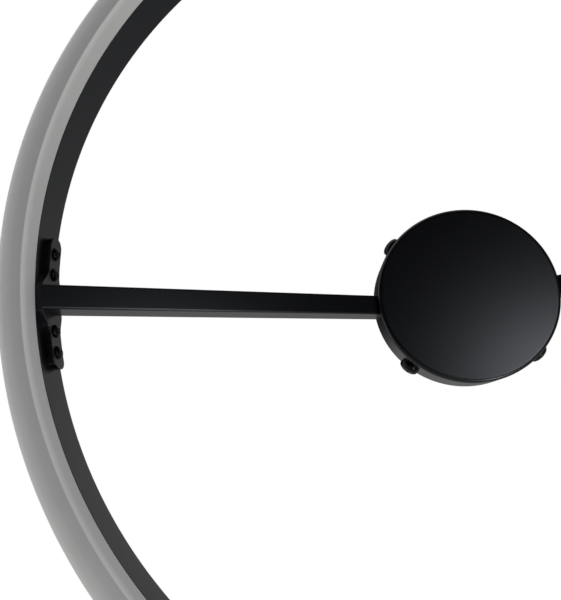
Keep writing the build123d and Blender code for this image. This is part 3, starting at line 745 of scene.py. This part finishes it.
def bracketEdge(given, waistY, earY, z):
    # Y of one long edge: level at the waist, sloping to the neck, level along the ear, then
    # a quarter round at the end
    tiny = 0.1
    line = softLoop(
        [(0, waistY), (given["waist"], waistY), (given["neck"], earY), (given["halfLength"], earY)],
        (tiny, given["waistReach"], given["neckReach"], tiny), given["bendSteps"], closed=False,
    )
    keep = np.concatenate([[True], np.diff(line[:, 0]) > 1e-9])
    y = np.interp(np.abs(z), line[keep, 0], line[keep, 1])
    past = np.clip(np.abs(z) - (given["halfLength"] - given["earRound"]), 0, given["earRound"])
    inward = given["earRound"] - np.sqrt(np.maximum(given["earRound"] ** 2 - past ** 2, 0))
    return y + np.sign((given["earFrontY"] + given["earBackY"]) / 2 - earY) * inward


def makeBracket(name, side, node, given):
    # the plate's place along the ring is z, its place across is Y between its two long
    # edges, and it lies on cylinders about the ring's axis, x = sqrt(radius^2 - z^2)
    half, turn = given["halfLength"], given["earRound"]
    middle = np.linspace(0, half - turn, given["alongSteps"])
    end = half - turn + turn * np.sin(np.linspace(0, math.pi / 2, given["endSteps"]))[1:]
    z = np.concatenate([middle, end])
    z = np.concatenate([-z[:0:-1], z])
    front = bracketEdge(given, given["frontY"], given["earFrontY"], z)
    back = bracketEdge(given, given["backY"], given["earBackY"], z)
    face, outside = given["faceRadius"], given["faceRadius"] + given["thickness"] - given["backGap"]
    edge = given["edge"]
    bevel, flat = edge * given["bevelShare"], edge * given["flatShare"]
    walk = [
        (front + edge, face), (front + flat, face), (back - flat, face), (back - edge, face),
        (back - bevel, face + bevel), (back, face + edge), (back, face + flat), (back, outside),
        (front, outside), (front, face + flat), (front, face + edge), (front + bevel, face + bevel),
    ]
    rows = [np.stack([side * np.sqrt(r ** 2 - z ** 2), y, z], -1) for y, r in walk]
    grid = np.stack(rows, 1) * mm
    count, columns = grid.shape[:2]
    faces = gridFaces(count, columns, False, True) + endCaps(count, columns)
    piece = putMesh(name, grid.reshape(-1, 3), faces, given["sharpAngle"])
    return finishPiece(piece, "lamp", "black_powder_coat", node)


makeBracket("bracketPlateLeft", -1, "ring_bracket_left", bracketSet)
makeBracket("bracketPlateRight", 1, "ring_bracket_right", bracketSet)
print("brackets made")


# A recess is the half length and half width of its cross's bars and its depth. Head and shank
# are diameters, seat is the radius that a head sits on, and turns are in degrees.
screwShape = {
    "domePower": 2.4, "quarterSteps": 18, "domeSteps": 15,
    "recessRings": (0.35, 0.7), "recessPoint": 1.15,   # its floor's rings and its deeper middle
    "recessBlend": 0.04, "recessDip": 0.02,            # of the head's radius and height
    "threadDepth": 0.32, "threadSteps": 6, "threadRunIn": 1.2, "threadEnd": 0.4,
    "tipStep": 0.6, "sharpAngle": 38,
}
bracketScrewSet = {
    "head": 8, "height": 2.1, "skirt": 0.5, "shank": 4, "length": 10, "pitch": 0,
    "recess": (2.05, 0.46, 1.0), "pitchRadius": 281.0,
    "offsets": (-31.3, -18, 18, 31.3), "seat": 276.9, "y": -115, "turns": (12, 58, 31, 77),
}
canopyScrewSet = {
    "head": 15, "height": 5, "skirt": 1.2, "shank": 6, "length": 12, "pitch": 1.0,
    "recess": (3.4, 0.8, 2.0), "seat": 68.1, "y": -9, "turns": (20, 65, 38, 81),
}


def screwGrid(given, shape):
    # rows run from the middle of the recess up its tapered wall, over a dome that stands on a
    # short skirt, skirt + (h - skirt) sqrt(1 - (r / headRadius)^power), under the head and
    # down the shank, where a thread's groove turns once a pitch; columns go round. The recess
    # is a cross: its edge is the farther of two crossed bars seen from the middle.
    headRadius, h = given["head"] / 2, given["height"]
    shank, length, skirt, pitch = given["shank"] / 2, given["length"], given["skirt"], given["pitch"]
    arm, width, depth = given["recess"]
    tilt = math.atan2(width, arm)
    plain = np.linspace(0, math.pi / 2, shape["quarterSteps"], endpoint=False)
    quarter = np.union1d(np.round(plain, 6), np.round([tilt, math.pi / 2 - tilt, math.pi / 4], 6))
    t = np.concatenate([quarter + k * math.pi / 2 for k in range(4)])[None, :]
    c, s = np.abs(np.cos(t)) + 1e-9, np.abs(np.sin(t)) + 1e-9
    cross = np.maximum(np.minimum(arm / c, width / s), np.minimum(width / c, arm / s))

    def dome(r):
        return skirt + (h - skirt) * np.sqrt(np.maximum(1 - (r / headRadius) ** shape["domePower"], 0))

    lip = cross + shape["recessBlend"] * headRadius
    ringNear, ringFar = shape["recessRings"]
    radii = [0 * cross, ringNear * cross, ringFar * cross, cross, lip]
    heights = [h - depth * shape["recessPoint"] + 0 * t, h - depth + 0 * t, h - depth + 0 * t,
               dome(cross) - shape["recessDip"] * h, dome(lip)]
    u = np.sin(np.linspace(0, math.pi / 2, shape["domeSteps"]))[1:, None]
    dishes = lip * (1 - u) + headRadius * u
    radii += list(dishes[:, None, :]) + [headRadius + 0 * t]
    heights += list(dome(dishes)[:, None, :]) + [0 * t]
    if pitch:
        down = np.arange(0, length - shape["threadEnd"], pitch / shape["threadSteps"])
        phase = (down[:, None] / pitch + t / (2 * math.pi)) % 1
        runIn = np.clip(down[:, None] / shape["threadRunIn"], 0, 1)
        body = shank - shape["threadDepth"] * pitch * np.abs(2 * phase - 1) * runIn
    else:
        down = np.linspace(0, length, 4)
        body = shank + 0 * down[:, None] * t
    radii += list(body[:, None, :]) + [(shank - shape["tipStep"]) + 0 * t, 0 * t]
    heights += list((-down[:, None] + 0 * t)[:, None, :]) + [-length + 0 * t, -length + 0 * t]
    r, z = np.concatenate(radii), np.concatenate(heights)
    return np.stack([r * np.cos(t), r * np.sin(t), z], -1)


def screwsAt(name, given, places, body, node):
    # each place is (seat point, way the head faces, turn in degrees)
    local = screwGrid(given, screwShape)
    rows, columns = local.shape[:2]
    points, faces = [], []
    for seat, facing, turn in places:
        facing = np.array(facing, float)
        across = np.array([0.0, 1.0, 0.0])
        beside = np.cross(facing, across)
        a = math.radians(turn)
        first = math.cos(a) * across + math.sin(a) * beside
        second = np.cross(facing, first)
        spot = np.array(seat) + local[..., :1] * first + local[..., 1:2] * second + local[..., 2:] * facing
        faces += gridFaces(rows, columns, False, True, len(points) * rows * columns)
        points.append(spot.reshape(-1, 3) * mm)
    piece = putMesh(name, np.concatenate(points), faces, screwShape["sharpAngle"])
    return finishPiece(piece, body, "black_screw", node)


def makeBracketScrews(name, side, node, given):
    # heads face the ring's axis, at their offsets in mm from the arm's middle height
    places = []
    for offset, turn in zip(given["offsets"], given["turns"]):
        a = math.asin(offset / given["pitchRadius"])
        out = np.array([side * math.cos(a), 0, math.sin(a)])
        places.append((out * given["seat"] + np.array([0, given["y"], 0]), -out, turn))
    return screwsAt(name, given, places, "lamp", node)


def makeCanopyScrew(number, angle, given):
    out = np.array([math.cos(math.radians(angle)), 0, math.sin(math.radians(angle))])
    seat = out * given["seat"] + np.array([0, given["y"], 0])
    node = f"canopy_screw_{number}"  # the body has the node's name
    return screwsAt(f"canopyScrew{number}", given, [(seat, out, given["turns"][number - 1])], node, node)


makeBracketScrews("bracketScrewsLeft", -1, "bracket_screws_left", bracketScrewSet)
makeBracketScrews("bracketScrewsRight", 1, "bracket_screws_right", bracketScrewSet)
for number, angle in enumerate(canopySet["screwAngles"], start=1):
    makeCanopyScrew(number, angle, canopyScrewSet)
print("screws made")
